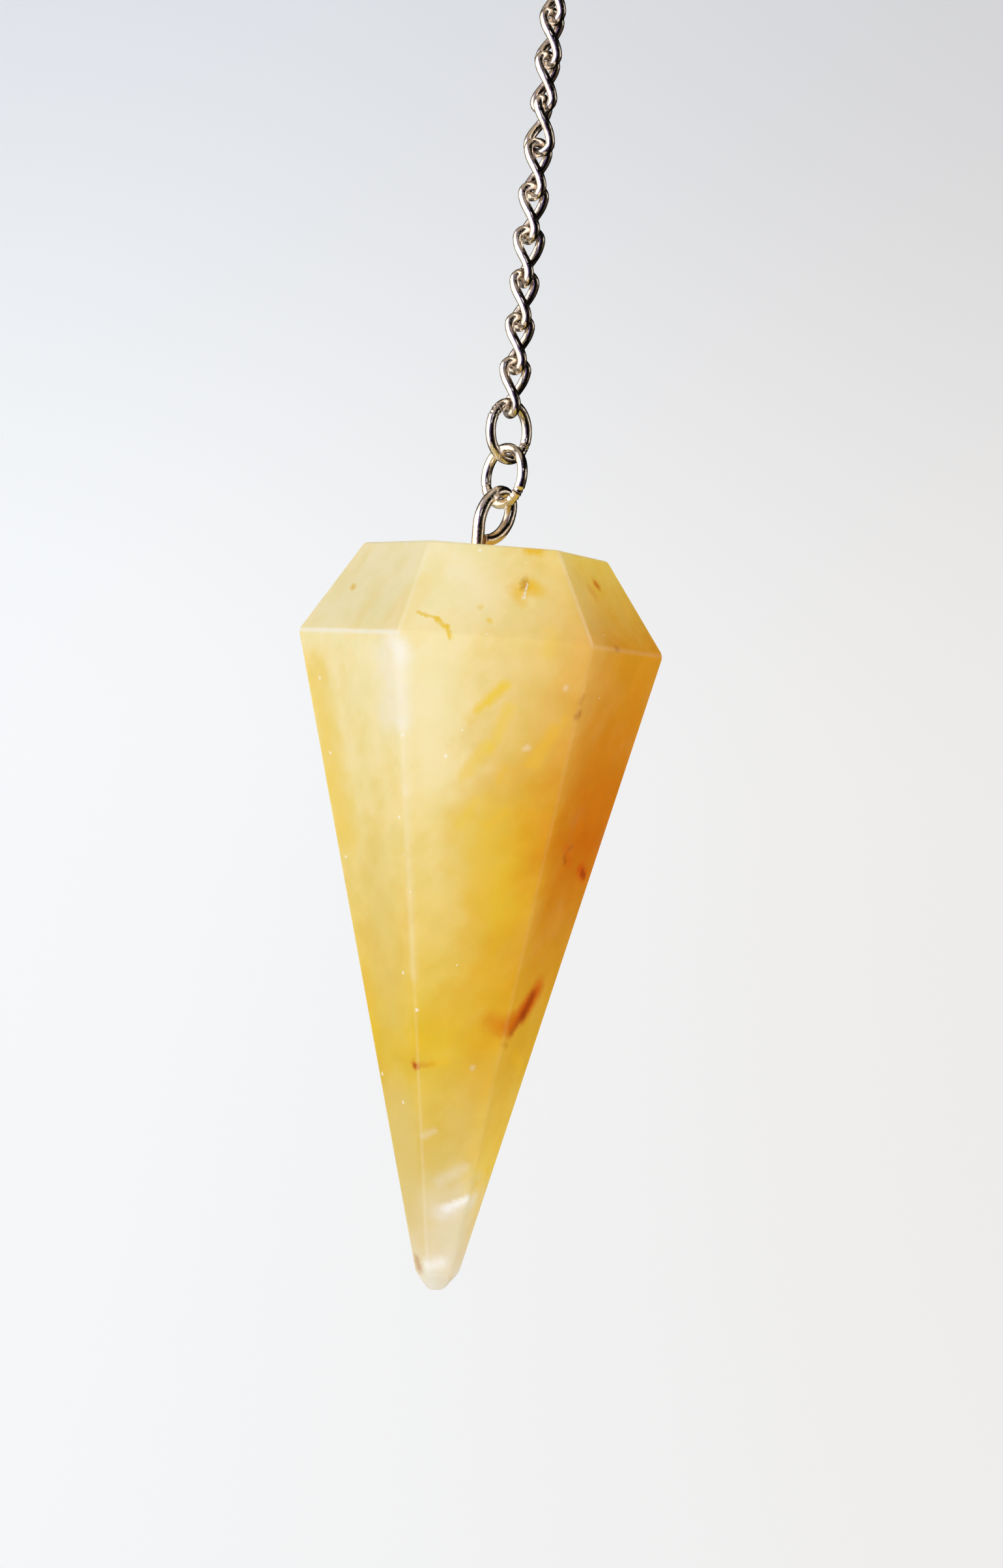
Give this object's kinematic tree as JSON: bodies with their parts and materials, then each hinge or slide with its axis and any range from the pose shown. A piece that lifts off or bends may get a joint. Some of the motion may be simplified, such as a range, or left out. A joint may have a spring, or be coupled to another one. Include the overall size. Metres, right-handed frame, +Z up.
{
  "type": "pendulum pendant",
  "caption": "Pointed, faceted yellow quartz stone that hangs from a twisted curb chain by a bent wire eye and jump rings, and swings freely.",
  "frame": {"origin": "where the end ring hangs: the inside of its wire, at the top", "axes": "+Z up along the hanging chain, -Y towards the front of the stone, +X to the right"},
  "size_m": [0.0187, 0.0171, 0.0706],
  "materials": {
    "quartz": "polished, translucent, honey yellow with rust specks",
    "silver_plate": "bright silver plate, slightly tarnished"
  },
  "bodies": {
    "chain": {"end_ring": "silver_plate", "link_01": "silver_plate", "link_02": "silver_plate", "link_03": "silver_plate", "link_04": "silver_plate", "link_05": "silver_plate", "link_06": "silver_plate", "link_07": "silver_plate", "link_08": "silver_plate", "link_09": "silver_plate", "link_10": "silver_plate", "upper_ring": "silver_plate"},
    "lower_ring": {"lower_ring": "silver_plate"},
    "pendant": {"eye": "silver_plate", "stone": "quartz"}
  },
  "joints": [
    {"name": "ring_swing", "type": "hinge", "parent": "chain", "child": "lower_ring", "pos_m": [0, 0, -0.0273], "axis": [0.6428, 0.766, 0], "range_deg": [-85, 85]},
    {"name": "pendant_swing", "type": "hinge", "parent": "lower_ring", "child": "pendant", "pos_m": [0, 0, -0.0296], "axis": [0.6428, -0.766, 0], "range_deg": [-85, 85]}
  ]
}
